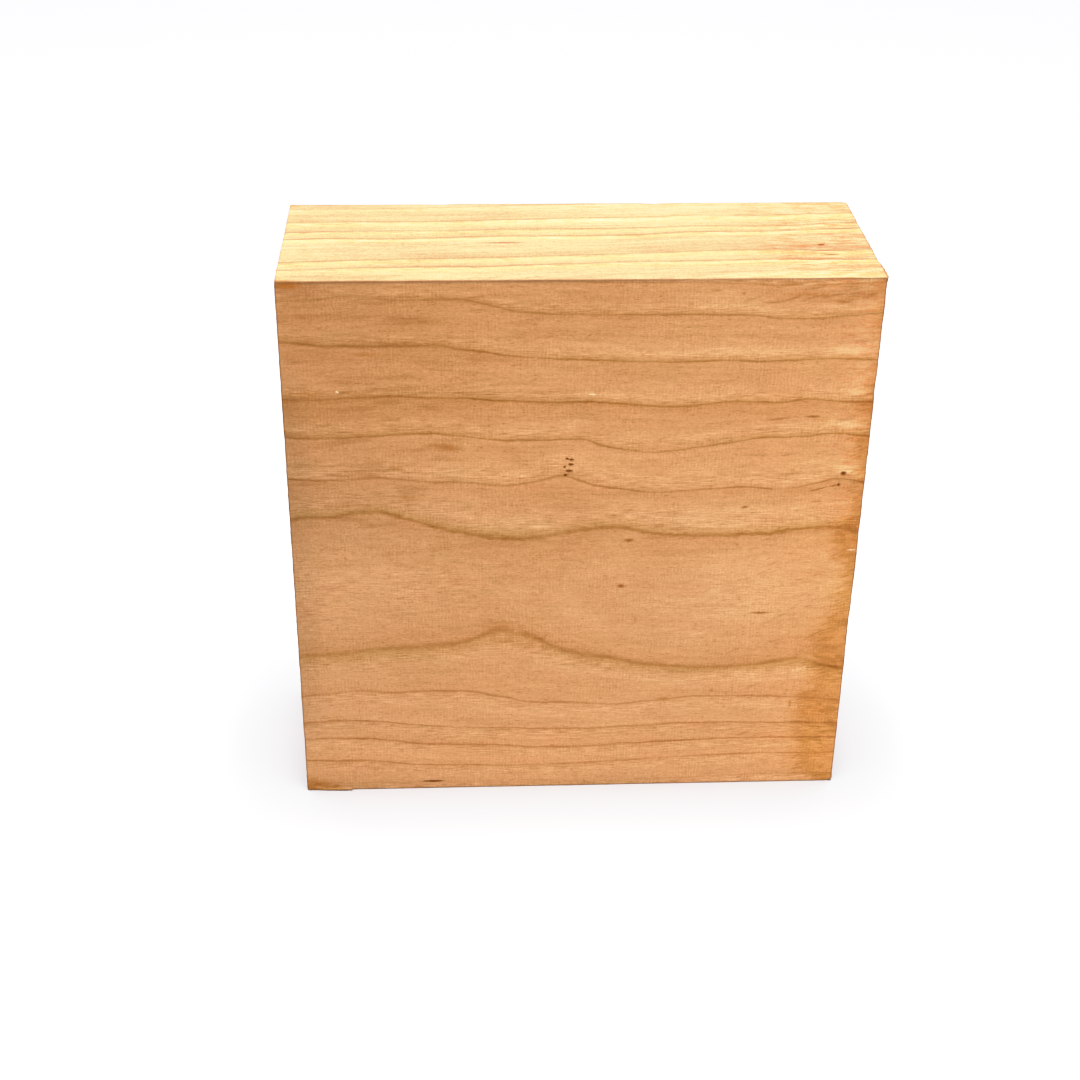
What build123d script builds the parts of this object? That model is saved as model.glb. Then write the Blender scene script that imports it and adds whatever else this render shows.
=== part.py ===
from build123d import *
import os

# Wood bowl blank: one square block of planed hardwood, sold for a lathe.
# It stands on one long-grain edge, as it is shown, with a broad face to the front.
# Millimetres. +X runs along the grain (the two X ends are end grain), +Y goes
# through the thickness from the front face to the back face, +Z is up across
# the grain. The origin is the middle of the edge that the block stands on.

# ---- driving dimensions -------------------------------------------------
LENGTH = 203.2          # along the grain, sawn end to sawn end (8 in)
THICKNESS = 73.4        # front face to back face, planed from 3 in stock
HEIGHT = 209.4          # across the grain, sawn edge to sawn edge
ARRIS = 0.4             # radius of every edge: crisp, only eased by handling
BRUISE_X = 2.6          # crushed lower corner at the front right: how far the
BRUISE_Y = 1.6          # flat runs along each of the three edges
BRUISE_Z = 1.1


def block():
    """The planed block with all twelve arrises just eased."""
    body = Box(LENGTH, THICKNESS, HEIGHT, align=(Align.CENTER, Align.CENTER, Align.MIN))
    return fillet(body.edges(), radius=ARRIS)


def bruise():
    """A corner wedge: the flat that the knocked corner was crushed to."""
    cx, cy, cz = LENGTH / 2, -THICKNESS / 2, 0.0
    grow = 2.0          # the wedge runs past the corner, so that it cuts cleanly
    # A tetrahedron on the crushed plane, with its apex outside the block.
    a = Vector(cx - BRUISE_X, cy, cz)
    b = Vector(cx, cy + BRUISE_Y, cz)
    c = Vector(cx, cy, cz + BRUISE_Z)
    centre = (a + b + c) * (1 / 3)
    a, b, c = (centre + (p - centre) * grow for p in (a, b, c))
    normal = (b - a).cross(c - a).normalized()
    outward = Vector(1, -1, -1)
    if normal.dot(outward) < 0:
        normal = normal * -1
    apex = centre + normal * 4.0
    faces = [
        Face(Wire.make_polygon([a, b, c])),
        Face(Wire.make_polygon([a, b, apex])),
        Face(Wire.make_polygon([b, c, apex])),
        Face(Wire.make_polygon([c, a, apex])),
    ]
    return Solid(Shell(faces))


bowl_blank = block() - bruise()
bowl_blank.label = "bowl_blank"

os.makedirs("parts", exist_ok=True)
export_step(bowl_blank, "parts/bowl_blank.step")

box = bowl_blank.bounding_box()
print("bowl_blank volume mm3 %.1f" % bowl_blank.volume)
print("bowl_blank box mm", [round(v, 3) for v in (*box.min, *box.max)])
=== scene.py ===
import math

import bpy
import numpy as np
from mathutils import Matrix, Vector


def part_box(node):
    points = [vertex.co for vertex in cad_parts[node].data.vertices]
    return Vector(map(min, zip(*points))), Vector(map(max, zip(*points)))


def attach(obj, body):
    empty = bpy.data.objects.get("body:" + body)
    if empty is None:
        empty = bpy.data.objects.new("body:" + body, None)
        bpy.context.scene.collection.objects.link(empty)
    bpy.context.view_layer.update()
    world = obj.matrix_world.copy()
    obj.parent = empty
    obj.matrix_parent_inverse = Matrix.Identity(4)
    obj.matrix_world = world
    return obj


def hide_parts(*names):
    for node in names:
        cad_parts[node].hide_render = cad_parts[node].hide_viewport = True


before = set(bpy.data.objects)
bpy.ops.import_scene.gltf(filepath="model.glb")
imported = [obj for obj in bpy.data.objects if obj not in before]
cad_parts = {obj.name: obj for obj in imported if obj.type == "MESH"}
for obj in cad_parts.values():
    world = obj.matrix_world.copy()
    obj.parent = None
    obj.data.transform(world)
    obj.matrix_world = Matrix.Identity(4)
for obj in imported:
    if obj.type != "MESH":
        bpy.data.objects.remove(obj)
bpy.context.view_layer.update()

# Wood bowl blank: one planed block of fruitwood, standing on a long-grain edge.
# Its figure is a solid texture. The growth rings are surfaces about a pith that
# lies behind the block, so the lines on the broad faces, the edges and the end
# grain all belong together. Lengths below are in millimetres unless they say so.

node_lo, node_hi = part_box("bowl_blank")
LO = np.array(node_lo) * 1000.0
HI = np.array(node_hi) * 1000.0
W, T, H = HI - LO                    # along the grain, thickness, height

rng = np.random.default_rng(8)


# ------------------------------------------------------------------ helpers

def pchip(x, y, at):
    """Monotone cubic through the points (x, y), held level past the ends."""
    x, y = np.asarray(x, float), np.asarray(y, float)
    h, d = np.diff(x), np.diff(y) / np.diff(x)
    m = np.zeros_like(y)
    m[0], m[-1] = d[0], d[-1]
    same = d[:-1] * d[1:] > 0
    w1, w2 = 2 * h[1:] + h[:-1], h[1:] + 2 * h[:-1]
    with np.errstate(divide="ignore", invalid="ignore"):
        hm = (w1 + w2) / (w1 / d[:-1] + w2 / d[1:])
    m[1:-1] = np.where(same, hm, 0.0)
    at = np.clip(np.asarray(at, float), x[0], x[-1])
    i = np.clip(np.searchsorted(x, at, side="right") - 1, 0, len(x) - 2)
    s = (at - x[i]) / h[i]
    return ((1 + 2 * s) * (1 - s) ** 2 * y[i] + s * (1 - s) ** 2 * h[i] * m[i]
            + s * s * (3 - 2 * s) * y[i + 1] + s * s * (s - 1) * h[i] * m[i + 1])


def smooth(a, b, v):
    s = np.clip((v - a) / (b - a), 0.0, 1.0)
    return s * s * (3 - 2 * s)


def waves(p, lengths, count, seed):
    """Smooth seeded noise in about -1..1: a sum of plane waves whose wavelengths
    along each axis are near the given lengths."""
    r = np.random.default_rng(seed)
    out = np.zeros(len(p))
    for _ in range(count):
        k = r.normal(size=3)
        k = k / np.linalg.norm(k) * r.uniform(0.6, 1.5) * 2 * math.pi / np.asarray(lengths)
        out += np.sin(p @ k + r.uniform(0, 2 * math.pi))
    return out / math.sqrt(count) * 0.9


# ------------------------------------------------- growth rings of the block
# The pith runs nearly along X, behind the block, a little lower and further back
# towards the right end. Each ring boundary is given where it meets the front face
# (depth below the top edge) and the top edge face (distance behind the front
# edge), at distances from the left end.

PITH_BACK, PITH_UP, PITH_TILT = 137.0, 91.4, 0.022

UPPER = {   # boundary: where it crosses the upper part of the front face
    6: [(0, 6.3), (10, 7.1), (22, 5.4), (44, 7.0), (60, 6.6), (70, 8.6), (81, 11.3), (102, 12.5), (132, 12.7),
        (158, 13.2), (166, 14.3), (178, 14.6), (193, 13.5), (203, 12.6)],
    5: [(0, 21.8), (5, 22.0), (17, 23.3), (54, 23.3), (59, 24.4), (69, 25.8), (77, 27.2), (102, 28.9), (137, 30.1),
        (150, 29.8), (168, 30.2), (184, 29.4), (203, 29.9)],
    4: [(0, 42.8), (8, 43.0), (37, 42.0), (48, 42.6), (63, 42.9), (73, 43.9), (94, 44.8), (103, 44.7), (121, 46.0),
        (131, 46.9), (145, 46.4), (154, 45.2), (170, 45.7), (182, 44.6), (193, 45.8), (203, 45.6)],
    3: [(0, 56.9), (6, 57.6), (16, 57.5), (50, 56.3), (63, 57.6), (77, 59.4), (102, 58.9), (110, 61.8), (128, 64.4),
        (150, 61.8), (170, 59.0), (179, 59.0), (190, 58.0), (203, 59.1)],
    2: [(0, 73.2), (13, 74.1), (30, 73.3), (50, 75.2), (63, 75.5), (75, 76.8), (86, 75.6), (96, 73.3), (102, 75.2),
        (108, 77.4), (118, 79.1), (129, 80.2), (160, 78.6), (172, 79.5), (178, 79.2), (186, 77.4), (193, 75.7),
        (203, 77.1)],
    1: [(0, 90.0), (7, 89.0), (14, 88.9), (22, 87.4), (30, 86.6), (39, 89.3), (52, 93.6), (65, 96.9), (80, 98.5),
        (92, 97.5), (105, 95.0), (116, 94.3), (129, 97.2), (141, 98.2), (170, 97.7), (178, 96.4), (191, 95.5),
        (203, 97.4)],
}
LOWER = {   # the same boundaries below the pith's height
    1: [(0, 147.2), (19, 146.0), (30, 144.4), (42, 143.9), (58, 142.5), (64, 141.0), (69, 138.4), (75, 137.0),
        (82, 138.6), (88, 140.8), (93, 144.2), (102, 147.4), (116, 150.2), (130, 153.6), (149, 154.9), (168, 154.3), (185, 151.6),
        (194, 154.5), (203, 156.7)],
    2: [(0, 165.4), (6, 164.9), (21, 163.4), (34, 164.3), (48, 163.8), (64, 164.4), (70, 165.9), (78, 167.9),
        (84, 169.5), (102, 170.1), (116, 171.2), (135, 169.5), (148, 168.3), (160, 168.3), (186, 169.5), (203, 171.3)],
    3: [(0, 177.6), (6, 177.4), (14, 176.8), (26, 177.2), (50, 180.1), (70, 181.2), (102, 182.1), (134, 181.0),
        (142, 180.3), (183, 181.1), (203, 181.6)],
    4: [(0, 185.4), (8, 185.0), (26, 185.3), (32, 186.1), (48, 188.4), (62, 188.8), (79, 189.7), (88, 190.6),
        (102, 190.7), (122, 189.4), (150, 188.4), (157, 188.0), (203, 188.3)],
    5: [(0, 195.2), (23, 195.6), (45, 198.0), (65, 198.6), (75, 199.1), (102, 198.5), (154, 195.8), (176, 195.4),
        (194, 196.0), (203, 195.5)],
    6: [(0, 206.8), (16, 206.4), (48, 206.0), (97, 206.9), (140, 206.6), (177, 205.3), (195, 205.6), (203, 205.8)],
}
ABOVE = {   # and on the top edge face, behind the front edge
    6: [(0, 9.8), (25, 11.6), (53, 12.4), (70, 12.2), (81, 13.1), (102, 14.4), (121, 15.8), (142, 16.1), (160, 17.0),
        (203, 16.9)],
    5: [(0, 16.9), (30, 19.1), (68, 20.3), (102, 22.1), (129, 24.1), (154, 25.8), (172, 26.4), (186, 24.9), (203, 26.1)],
    4: [(0, 38.2), (18, 39.0), (38, 38.5), (74, 40.6), (102, 40.4), (123, 41.3), (142, 43.5), (172, 44.2), (185, 45.6),
        (203, 46.5)],
    3: [(0, 45.2), (29, 45.9), (50, 46.2), (69, 47.0), (102, 47.2), (130, 48.1), (145, 49.4), (177, 49.4), (195, 51.8),
        (203, 52.0)],
    2: [(0, 54.9), (48, 55.3), (77, 56.5), (102, 58.0), (133, 59.0), (142, 60.0), (166, 59.5), (178, 60.4), (203, 62.3)],
    1: [(0, 68.5), (50, 69.5), (102, 72.0), (150, 74.5), (203, 77.0)],
}
INNER = [4.6, 5.2, 6.3, 4.3, 5.7, 4.9, 6.6, 4.2, 5.4, 6.1, 4.6, 5.1, 5.9, 4.4, 5.3, 4.8, 5.5, 5.0]
K_MIN, K_MAX = 1 - len(INNER), 8


def ring_field(p):
    """Ring count, local ring width and the place about the pith, at points p."""
    x = p[:, 0] - LO[0]
    off = x - W / 2
    d = PITH_BACK + PITH_TILT * off - (p[:, 1] - LO[1])        # in front of the pith
    h = p[:, 2] - LO[2] - (PITH_UP - PITH_TILT * off)           # above the pith
    rad, phi = np.hypot(d, h), np.arctan2(h, d)

    def at(dist_front, depth):
        dd = PITH_BACK + PITH_TILT * off - dist_front
        hh = H - depth - (PITH_UP - PITH_TILT * off)
        return np.hypot(dd, hh), np.arctan2(hh, dd)

    def between(a, b, v):
        s = np.clip((v - a) / np.maximum(b - a, 1e-6), 0, 1)
        return s * s * (3 - 2 * s)

    bounds = {}
    for k in range(1, 7):
        ru, fu = at(0.0, pchip(*zip(*UPPER[k]), x))
        rl, fl = at(0.0, pchip(*zip(*LOWER[k]), x))
        rt, ft = at(pchip(*zip(*ABOVE[k]), x), 0.0)
        bounds[k] = np.where(phi < fu, rl + (ru - rl) * between(fl, fu, phi),
                             ru + (rt - ru) * between(fu, ft, phi))
    bounds[7] = bounds[6] + 8.7 - 3.0 * smooth(0.3, -0.5, phi) - 2.2 * smooth(0.708, 0.735, phi)
    bounds[8] = bounds[7] + 7.0
    q = np.stack([x, rad, phi * 120], 1)
    for i, width in enumerate(INNER):
        k = -i
        keep = 0.93 ** (i + 1)
        first = bounds[1]
        bounds[k] = 139.6 - sum(INNER[:i + 1]) + (first - 139.6) * keep + 0.8 * waves(
            np.stack([x, np.full_like(x, 30.0 * i), phi * 120], 1), (70, 90, 60), 5, 40 + i // 3)
    ks = np.arange(K_MIN, K_MAX + 1)
    R = np.stack([bounds[int(k)] for k in ks], 1)
    R = np.maximum.accumulate(R + np.arange(len(ks)) * 1e-6, axis=1)
    gap = np.maximum(np.diff(R, axis=1), 0.35)
    R = np.concatenate([R[:, :1], R[:, :1] + np.cumsum(gap, 1)], 1)
    slope = 1.0 / gap
    m = np.empty_like(R)
    m[:, 0], m[:, -1] = slope[:, 0], slope[:, -1]
    w1, w2 = 2 * gap[:, 1:] + gap[:, :-1], gap[:, 1:] + 2 * gap[:, :-1]
    m[:, 1:-1] = (w1 + w2) / (w1 / slope[:, :-1] + w2 / slope[:, 1:])
    i = np.clip((R <= rad[:, None]).sum(1) - 1, 0, len(ks) - 2)
    j = np.arange(len(p))
    g = gap[j, i]
    s = np.clip((rad - R[j, i]) / g, 0, 1)
    k0 = ks[i]
    A = (k0 * (1 + 2 * s) * (1 - s) ** 2 + s * (1 - s) ** 2 * g * m[j, i]
         + (k0 + 1) * s * s * (3 - 2 * s) + s * s * (s - 1) * g * m[j, i + 1])
    dA = ((-6 * s + 6 * s * s) * k0 + (6 * s - 6 * s * s) * (k0 + 1)) / g + (
        (3 * s * s - 4 * s + 1) * m[j, i] + (3 * s * s - 2 * s) * m[j, i + 1])
    return A, 1.0 / np.maximum(dA, 0.03), rad, phi


# ------------------------------------------------------------------ the mesh
# A closed grid over the six faces, close at the arrises and round the pin knots.

def grid(lo, hi, step, marks=()):
    s = np.linspace(lo, hi, 6001)
    want = np.minimum(step, 0.15 + 0.36 * np.minimum(s - lo, hi - s))
    for c, half, fine in marks:
        want = np.minimum(want, fine + 0.36 * np.maximum(np.abs(s - c) - half, 0))
    total = np.concatenate([[0], np.cumsum(0.5 * (1 / want[1:] + 1 / want[:-1]) * np.diff(s))])
    n = int(math.ceil(total[-1]))
    g = np.interp(np.linspace(0, total[-1], n + 1), total, s)
    g[0], g[-1] = lo, hi
    return g


STEP = 1.72
gx = grid(LO[0], HI[0], STEP, [(-3.7, 1.6, 0.42), (92.9, 1.5, 0.42), (17.4, 2.4, 0.6), (-84.2, 0.3, 0.3)])
gy = grid(LO[1], HI[1], STEP)
gz = grid(LO[2], HI[2], STEP, [(138.6, 4.6, 0.42), (131.2, 0.8, 0.42), (109.8, 0.8, 0.5), (90.2, 0.8, 0.5)])
nx, ny, nz = len(gx) - 1, len(gy) - 1, len(gz) - 1

index = {}
points = []


def corner(i, j, k):
    key = (i, j, k)
    if key not in index:
        index[key] = len(points)
        points.append((gx[i], gy[j], gz[k]))
    return index[key]


quads, uvs = [], []
# Where each face lies on the square texture sheet: the two faces that carry the
# figure that matters most, the front and the top edge, get the finest share.
SHEET = {}


def face(name, a, b, place, flip, left, low, fine):
    """One face as a grid of quads, with its rectangle on the sheet."""
    ga, gb = (gx, gy, gz)[a], (gx, gy, gz)[b]
    ua = left + (ga - ga[0]) * fine
    vb = low + (gb - gb[0]) * fine
    for m in range(len(ga) - 1):
        for n in range(len(gb) - 1):
            ring = [(m, n), (m + 1, n), (m + 1, n + 1), (m, n + 1)]
            if flip:
                ring = ring[::-1]
            quads.append([corner(*place(*r)) for r in ring])
            uvs.extend([(ua[r[0]], vb[r[1]]) for r in ring])
    SHEET[name] = (left, low, fine)


PX = 1.0 / 1024
FINE, PLAIN = 2.95 * PX, 1.86 * PX
face("front", 0, 2, lambda m, n: (m, 0, n), False, 6 * PX, 6 * PX, FINE)
face("top", 0, 1, lambda m, n: (m, n, nz), False, 6 * PX, 640 * PX, FINE)
face("back", 0, 2, lambda m, n: (m, ny, n), True, 622 * PX, 6 * PX, PLAIN)
face("right", 1, 2, lambda m, n: (nx, m, n), False, 622 * PX, 406 * PX, PLAIN)
face("left", 1, 2, lambda m, n: (0, m, n), True, 770 * PX, 406 * PX, PLAIN)
face("bottom", 0, 1, lambda m, n: (m, n, 0), True, 622 * PX, 806 * PX, PLAIN)

q = np.array(points)
inside = np.stack([np.minimum(q[:, a] - LO[a], HI[a] - q[:, a]) for a in range(3)], 1)
arris = np.sort(inside, 1)[:, 1]              # distance to the nearest arris

# Eased arrises, with a radius that wanders a little along them.
radius = 0.40 + 0.13 * waves(q, (26, 26, 26), 9, 3)
core = np.clip(q, LO + radius[:, None], HI - radius[:, None])
out = q - core
normal = out / np.maximum(np.linalg.norm(out, axis=1), 1e-9)[:, None]
v = core + normal * radius[:, None]

# The faces are planed, not ground: they wander by a few hundredths.
flat = smooth(0.0, 6.0, arris)
v += normal * (0.045 * waves(q, (64, 60, 46), 8, 5) * flat)[:, None]
# The sawn ends are a little coarser, with shallow scores from the saw.
end = np.abs(normal[:, 0]) ** 3
arcs = np.hypot(q[:, 1] + 190.0, q[:, 2] - 60.0)
scores = np.sin(arcs * 2 * math.pi / 6.3 + 1.6 * waves(q, (40, 30, 30), 6, 6))
v[:, 0] += np.sign(normal[:, 0]) * end * flat * (0.035 * scores + 0.05 * waves(q, (30, 22, 18), 8, 7))

# Bruises and nicks along the arrises: (edge point, reach along each axis, depth).
NICKS = [
    ((-62.0, LO[1], HI[2]), (3.4, 1.0, 1.0), 0.22), ((38.0, LO[1], HI[2]), (2.6, 0.9, 0.9), 0.18),
    ((96.5, LO[1], HI[2]), (2.2, 1.0, 1.0), 0.20), ((HI[0], LO[1], 168.0), (0.9, 0.9, 3.2), 0.25),
    ((HI[0], LO[1], 70.0), (1.1, 1.0, 11.0), 0.30), ((HI[0], LO[1], 112.0), (0.8, 0.8, 2.4), 0.22),
    ((LO[0], LO[1], 22.0), (0.8, 0.8, 4.0), 0.22), ((LO[0], LO[1], 150.0), (0.7, 0.7, 2.6), 0.16),
    ((30.0, HI[1], HI[2]), (3.0, 1.0, 1.0), 0.26), ((-48.0, HI[1], HI[2]), (4.2, 0.9, 0.9), 0.20),
    ((HI[0], HI[1], 120.0), (0.9, 0.9, 3.4), 0.30), ((LO[0], HI[1], 64.0), (0.9, 0.9, 3.0), 0.28),
    ((LO[0], 8.0, HI[2]), (0.9, 3.0, 0.9), 0.22), ((HI[0], 14.0, HI[2]), (0.9, 2.4, 0.9), 0.20),
    ((12.0, HI[1], LO[2]), (4.0, 0.9, 0.9), 0.22), ((LO[0], LO[1], HI[2]), (1.2, 1.2, 1.2), 0.25),
    ((HI[0], HI[1], HI[2]), (1.6, 1.6, 1.6), 0.35), ((LO[0], HI[1], LO[2]), (1.6, 1.6, 1.6), 0.32),
]
mid = (LO + HI) / 2
for at, reach, depth in NICKS:
    at = np.array(at)
    f = np.exp(-(((q - at) / np.array(reach)) ** 2).sum(1))
    inward = np.where(np.abs(at - mid) > (HI - LO) / 2 - 0.01, np.sign(mid - at), 0.0)
    inward = inward / np.linalg.norm(inward)
    v += inward * (f * depth)[:, None]

# Torn fibres along the sawn ends' arrises.
near_end = np.exp(-inside[:, 0] / 0.7) * np.exp(-arris / 0.8)
v[:, 0] += np.sign(q[:, 0]) * near_end * 0.09 * waves(q, (9, 5, 4.5), 14, 11)

# The proud ragged lip at the top of the right end, over the front of the thickness.
y_front = q[:, 1] - LO[1]
lip = smooth(15.0, 12.6, y_front) * smooth(0.2, 2.2, y_front + 0.4) * smooth(3.2, 0.9, HI[2] - q[:, 2])
lip *= np.exp(-(HI[0] - q[:, 0]) / 0.5)
v[:, 0] += lip * (0.50 + 0.16 * np.sin(y_front * 1.9) + 0.07 * np.sin(y_front * 4.3))

# The lifted sliver along the bottom of the front face, at the left.
along = q[:, 0] - LO[0]
lift = smooth(0.5, 14.0, along) ** 0.8 * (along < 17.45)
lift = lift * smooth(1.05, 0.45, q[:, 2] - LO[2]) * smooth(1.6, 0.3, y_front)
v[:, 1] -= 0.72 * lift
v[:, 2] += 0.10 * lift * (q[:, 2] < 0.5)

# The crushed lower corner at the front right, as in the solid.
reach = np.array([2.6, 1.6, 1.1])
tip = np.array([HI[0], LO[1], LO[2]])
n = np.array([1 / reach[0], -1 / reach[1], -1 / reach[2]])
n /= np.linalg.norm(n)
past = np.maximum((v - (tip - np.array([reach[0], 0, 0]))) @ n, 0)
v -= n * past[:, None]

# Pin knots: small pits. (x from the left, depth below the top edge, width, height, pit depth)
PITS = [
    (97.4, 66.6, 1.3, 1.0, 0.28), (98.8, 66.9, 1.2, 0.9, 0.24), (98.8, 68.8, 1.3, 0.8, 0.26), (96.8, 69.7, 0.9, 0.8, 0.20),
    (98.2, 71.4, 1.7, 0.9, 0.26), (97.0, 73.0, 1.2, 0.8, 0.26), (195.2, 73.6, 1.7, 1.3, 0.36), (193.9, 78.2, 1.0, 0.9, 0.30),
    (120.2, 99.8, 2.6, 1.2, 0.18), (117.7, 119.2, 2.0, 1.3, 0.22),
]
on_front = (q[:, 1] < LO[1] + 1e-6) & (arris > 1.0)
for px_, depth_, wide, tall, deep in PITS:
    f = ((q[:, 0] - LO[0] - px_) / (wide * 0.6)) ** 2 + ((HI[2] - q[:, 2] - depth_) / (tall * 0.6)) ** 2
    v[:, 1] += on_front * deep * np.exp(-f)

v[:, 2] = np.maximum(v[:, 2], LO[2])

mesh = bpy.data.meshes.new("bowl_blank_wood")
mesh.from_pydata((v / 1000.0).tolist(), [], quads)
mesh.update()
uv = mesh.uv_layers.new(name="OFBake")
uv.data.foreach_set("uv", np.array(uvs, np.float32).ravel())
mesh.polygons.foreach_set("use_smooth", np.ones(len(mesh.polygons), bool))

blank = bpy.data.objects.new("bowl_blank_wood", mesh)
bpy.context.scene.collection.objects.link(blank)

# ---------------------------------------------------- what the surface carries
ring, ring_width, rad, phi = ring_field(q)
left = q[:, 0] - LO[0]
depth = HI[2] - q[:, 2]
right = W - left
on_front = np.exp(-y_front / 4.0)


def blot(cx, cz, lx, lz, strength):
    """A soft patch on the front face."""
    return strength * np.exp(-((left - cx) / lx) ** 2 - ((depth - cz) / lz) ** 2) * on_front


# Soft lighter (+) and darker (-) places: (from the left, below the top, half length, half height, by how much).
PATCHES = [
    (193.8, 26.6, 5.5, 1.8, 0.26), (194.4, 54.6, 5.5, 2.2, 0.26), (195.4, 71.8, 4.2, 1.8, 0.16), (195.4, 66.6, 4.5, 1.8, 0.12), (195.8, 41.8, 4.0, 2.6, 0.14),
    (184.0, 93.8, 5.0, 1.8, 0.19), (192.2, 98.2, 3.0, 2.2, 0.12), (189.0, 156.8, 3.4, 1.8, 0.10), (100.8, 65.6, 3.4, 2.2, 0.10),
    (121.4, 97.8, 3.4, 1.7, 0.13), (118.6, 116.8, 2.2, 1.4, 0.12), (184.8, 2.4, 4.5, 1.6, 0.12), (57.0, 62.4, 4.6, 1.5, -0.10),
    (37.8, 69.4, 3.0, 1.5, -0.10), (98.0, 69.5, 1.6, 4.0, -0.08), (105.0, 13.0, 26.0, 2.4, -0.05), (62.0, 108.0, 22.0, 5.0, -0.05),
    (150.0, 106.0, 26.0, 9.0, 0.05), (60.0, 172.0, 40.0, 5.0, 0.03), (0.0, 44.0, 12.0, 5.0, -0.10),
    (30.0, 12.0, 24.0, 2.6, -0.05), (48.0, 15.0, 12.0, 2.2, -0.07), (10.0, 26.5, 16.0, 2.0, -0.06), (42.0, 27.0, 22.0, 2.2, -0.05),
    (110.0, 9.0, 22.0, 6.0, -0.08), (198.0, 35.0, 5.0, 5.0, 0.18), (158.0, 26.4, 42.0, 2.0, 0.09), (4.0, 207.0, 14.0, 3.5, -0.14),
    (112.0, 66.0, 20.0, 5.0, 0.05), (86.0, 67.0, 9.0, 3.4, -0.06), (4.0, 127.0, 6.0, 14.0, -0.06), (199.0, 174.0, 6.0, 10.0, -0.04), (199.0, 120.0, 7.0, 8.0, 0.12), (199.0, 16.0, 6.0, 5.0, 0.08), (50.0, 83.0, 30.0, 6.0, 0.06), (201.0, 207.5, 4.0, 2.5, 0.10), (168.0, 105.0, 34.0, 9.0, 0.07), (70.0, 150.0, 22.0, 8.0, 0.06),
    (186.0, 6.6, 17.0, 2.4, -0.13), (172.0, 4.6, 14.0, 1.4, -0.06), (24.0, 49.0, 26.0, 3.0, -0.05), (16.0, 78.0, 22.0, 2.4, -0.05),
    (86.0, 41.2, 28.0, 1.7, -0.13), (100.0, 18.6, 24.0, 2.6, -0.10), (181.0, 73.2, 8.0, 1.6, -0.10), (144.0, 7.0, 20.0, 2.6, 0.10),
    (183.0, 121.6, 8.0, 5.0, 0.11), (166.0, 158.0, 15.0, 2.0, 0.10), (187.0, 40.6, 9.0, 2.0, 0.10), (170.0, 68.4, 15.0, 1.5, 0.10),
    (192.0, 57.2, 4.5, 1.5, 0.12), (156.0, 206.8, 30.0, 1.6, 0.12), (50.0, 183.0, 14.0, 1.5, 0.09), (96.0, 82.6, 12.0, 2.6, -0.07), (86.0, 20.0, 9.0, 1.8, -0.06), (75.0, 41.0, 9.0, 1.5, -0.06),
    (158.0, 93.6, 16.0, 1.4, 0.10), (199.5, 25.4, 4.0, 1.6, 0.10), (179.0, 51.6, 9.0, 1.4, -0.09), (106.0, 202.0, 16.0, 1.6, 0.08),
]
# Painted light and shade on the front: darker to the left and most of all at the upper left, painted shade where the
# light falls off, with the strip at the very left end also the wood's own darker tone; lighter to the right, painted
# light; a little darker over the lower middle rows and lighter along the bottom, painted shade and light that even out
# the lamps near the floor; and a touch darker on the top face and just below it, painted shade.
painted_shade_and_tone = on_front * (-0.12 * smooth(130.0, 8.0, left) * smooth(125.0, 70.0, depth)
                  - 0.06 * smooth(90.0, 0.0, left) - 0.12 * smooth(13.0, 0.0, left) * smooth(10.0, 60.0, depth)
                  * smooth(205.0, 165.0, depth) + 0.07 * smooth(130.0, 195.0, left)
                  - 0.05 * smooth(100.0, 130.0, depth) * smooth(195.0, 175.0, depth) + 0.05 * smooth(180.0, 200.0, depth)) - 0.012 * np.exp(-depth / 3.0)
cool = on_front * (smooth(70.0, 98.0, depth) * smooth(195.0, 150.0, left) - smooth(78.0, 45.0, depth) * smooth(95.0, 40.0, left))
tone = np.zeros(len(q))
for cx, cz, lx, lz, by in PATCHES:
    tone += blot(cx, cz, lx, lz, by)
for cx, cy, lx, ly, by in [(160.0, 28.0, 44.0, 4.0, -0.08), (186.0, 31.0, 14.0, 8.0, -0.08), (110.0, 52.0, 60.0, 5.0, 0.05),
                           (186.0, 62.0, 14.0, 5.0, 0.05), (176.0, 6.0, 26.0, 4.0, 0.05), (24.0, 62.0, 24.0, 4.0, -0.06),
                           (110.0, 66.0, 70.0, 6.0, 0.08), (60.0, 27.0, 46.0, 6.0, -0.07), (18.0, 46.0, 28.0, 7.0, -0.05),
                           (200.0, 46.0, 10.0, 10.0, -0.08), (26.0, 4.6, 34.0, 1.7, -0.12)]:
    tone += by * np.exp(-((left - cx) / lx) ** 2 - ((y_front - cy) / ly) ** 2 - depth / 3.0)
tone += 0.07 * np.exp(-depth / 3.0) * smooth(0.5, 2.0, y_front) * smooth(10.5, 8.0, y_front) * smooth(70.0, 52.0, left)

# The sealing wax at the ends. It laps round onto the faces as an orange tint with
# a ragged edge; this is how far inside that edge a point lies.
lap_front = pchip([0, 12, 28, 40, 47, 55, 62, 76, 88, 97, 106, 114, 126, 138, 150, 160, 172, 180, 190, 203, 210],
                  [0.0, 1.5, -1.5, 2.0, 4.5, 2.0, 6.0, 3.5, 4.0, 9.5, 8.0, 5.0, 6.0, 11.0, 13.5, 10.5, 17.0, 16.5, 16.0, 14.5, 4.0], depth)
lap_top = -5.5 + 2.0 * np.sin(y_front * 0.23 + 1.0)
lap_back = 7.0 + 3.5 * np.sin(depth * 0.05 + 0.6) + 1.5 * np.sin(depth * 0.17)
lap_base = 8.0 + 3.0 * np.sin(y_front * 0.15)
weight = np.stack([np.exp(-y_front / 1.2), np.exp(-(T - y_front) / 1.2), np.exp(-depth / 1.2),
                   np.exp(-(H - depth) / 1.2)], 1) + 1e-9
lap = (weight * np.stack([lap_front, lap_back, lap_top, lap_base], 1)).sum(1) / weight.sum(1)
stain_right = lap - right
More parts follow.
